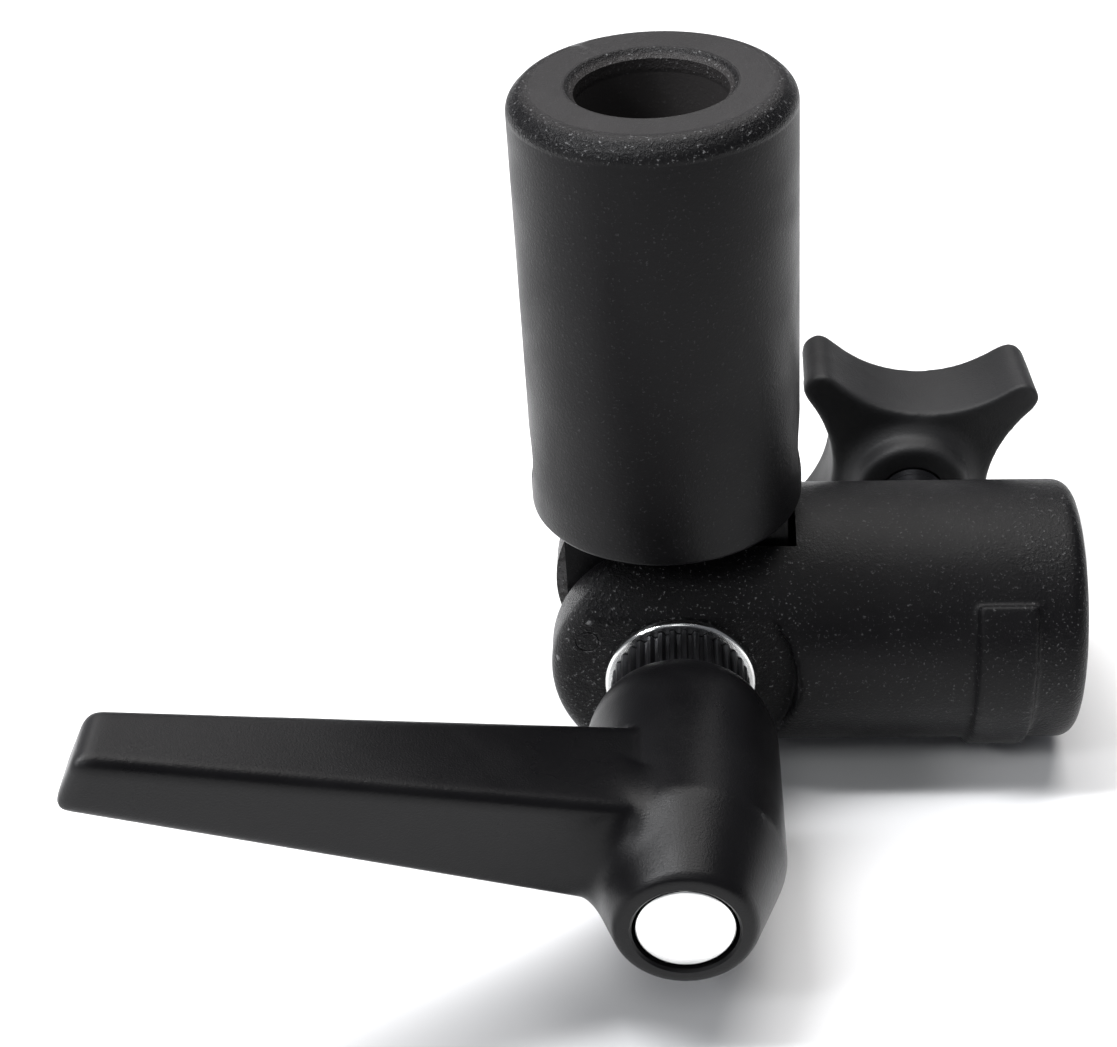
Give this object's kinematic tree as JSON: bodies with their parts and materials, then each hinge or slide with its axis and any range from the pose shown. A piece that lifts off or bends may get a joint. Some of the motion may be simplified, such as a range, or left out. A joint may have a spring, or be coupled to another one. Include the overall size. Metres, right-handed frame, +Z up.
{
  "type": "swivel stand adapter",
  "caption": "Swivel adapter for stage stands: two 16 mm sockets on a clevis-and-tongue tilt joint clamped by a ratchet lever, with star knobs and an umbrella hole.",
  "frame": {"origin": "centre of the bounding box in X and Y, at its lowest point, with the tilt pivot 15.98 mm above it", "axes": "+X along the lower socket and out of its mouth, +Y along the tilt pivot away from the lever, +Z up; the upper socket leans 1.4 degrees from +Z towards -X at rest"},
  "size_m": [0.104, 0.1014, 0.0839],
  "materials": {
    "cast_black": "cast aluminium with a satin black coat, finely granular on the clevis and rubbed brighter on the rims",
    "lever_black": "die-cast aluminium lever with a smooth satin black coat",
    "knob_black": "moulded black plastic with a fine matt grain",
    "zinc_steel": "zinc-plated steel",
    "bright_steel": "polished plated steel",
    "brass": "turned brass",
    "black_steel": "blackened steel",
    "fibre": "pressed friction fibre"
  },
  "bodies": {
    "base": {"lower_socket": "cast_black", "pivot_bolt": "zinc_steel", "friction_disc_front": "fibre", "friction_disc_back": "fibre"},
    "head": {"upper_socket": "cast_black", "pivot_sleeve": "brass"},
    "clamp_washer": {"front_washer": "bright_steel"},
    "ratchet": {"ratchet_insert": "black_steel", "retaining_screw": "zinc_steel", "lever_spring": "zinc_steel"},
    "lever": {"clamp_lever": "lever_black", "nose_cap": "bright_steel"},
    "lower_tip": {"lower_clamp_tip": "brass"},
    "lower_knob_screw": {"lower_knob": "knob_black", "lower_knob_cap": "knob_black", "lower_stud": "black_steel"},
    "upper_tip": {"upper_clamp_tip": "brass"},
    "upper_knob_screw": {"upper_knob": "knob_black", "upper_knob_cap": "knob_black", "upper_stud": "black_steel"}
  },
  "joints": [
    {"name": "tilt", "type": "hinge", "parent": "base", "child": "head", "pos_m": [0.00602, 0.01087, 0.01598], "axis": [0, 1, 0], "range_deg": [-180, 3]},
    {"name": "clamp_feed", "type": "slide", "parent": "base", "child": "clamp_washer", "axis": [0, -1, 0], "range_m": [0, 0.00055]},
    {"name": "clamp_turn", "type": "hinge", "parent": "clamp_washer", "child": "ratchet", "pos_m": [0.00602, 0.01087, 0.01598], "axis": [0, -1, 0], "range_deg": [0, 150]},
    {"name": "lever_lift", "type": "slide", "parent": "ratchet", "child": "lever", "axis": [0, -1, 0], "range_m": [0, 0.0042], "stiffness_N_per_m": 600, "springref_m": -0.0035, "deforming": ["lever_spring"]},
    {"name": "lower_feed", "type": "slide", "parent": "base", "child": "lower_tip", "axis": [0, -1, 0], "range_m": [-0.0013, 0.0051]},
    {"name": "lower_knob_turn", "type": "hinge", "parent": "lower_tip", "child": "lower_knob_screw", "pos_m": [0.03592, 0.01087, 0.01598], "axis": [0, -1, 0], "range_deg": [-360, 1440]},
    {"name": "upper_feed", "type": "slide", "parent": "head", "child": "upper_tip", "axis": [0, -1, 0], "range_m": [-0.0013, 0.0051]},
    {"name": "upper_knob_turn", "type": "hinge", "parent": "upper_tip", "child": "upper_knob_screw", "pos_m": [0.00424, 0.01087, 0.05195], "axis": [0, -1, 0], "range_deg": [-360, 1440]}
  ],
  "couplings": [
    {"joint": "clamp_feed", "follows": "clamp_turn", "m_per_rad": 0.00019894},
    {"joint": "lower_feed", "follows": "lower_knob_turn", "m_per_rad": 0.00019894},
    {"joint": "upper_feed", "follows": "upper_knob_turn", "m_per_rad": 0.00019894}
  ]
}
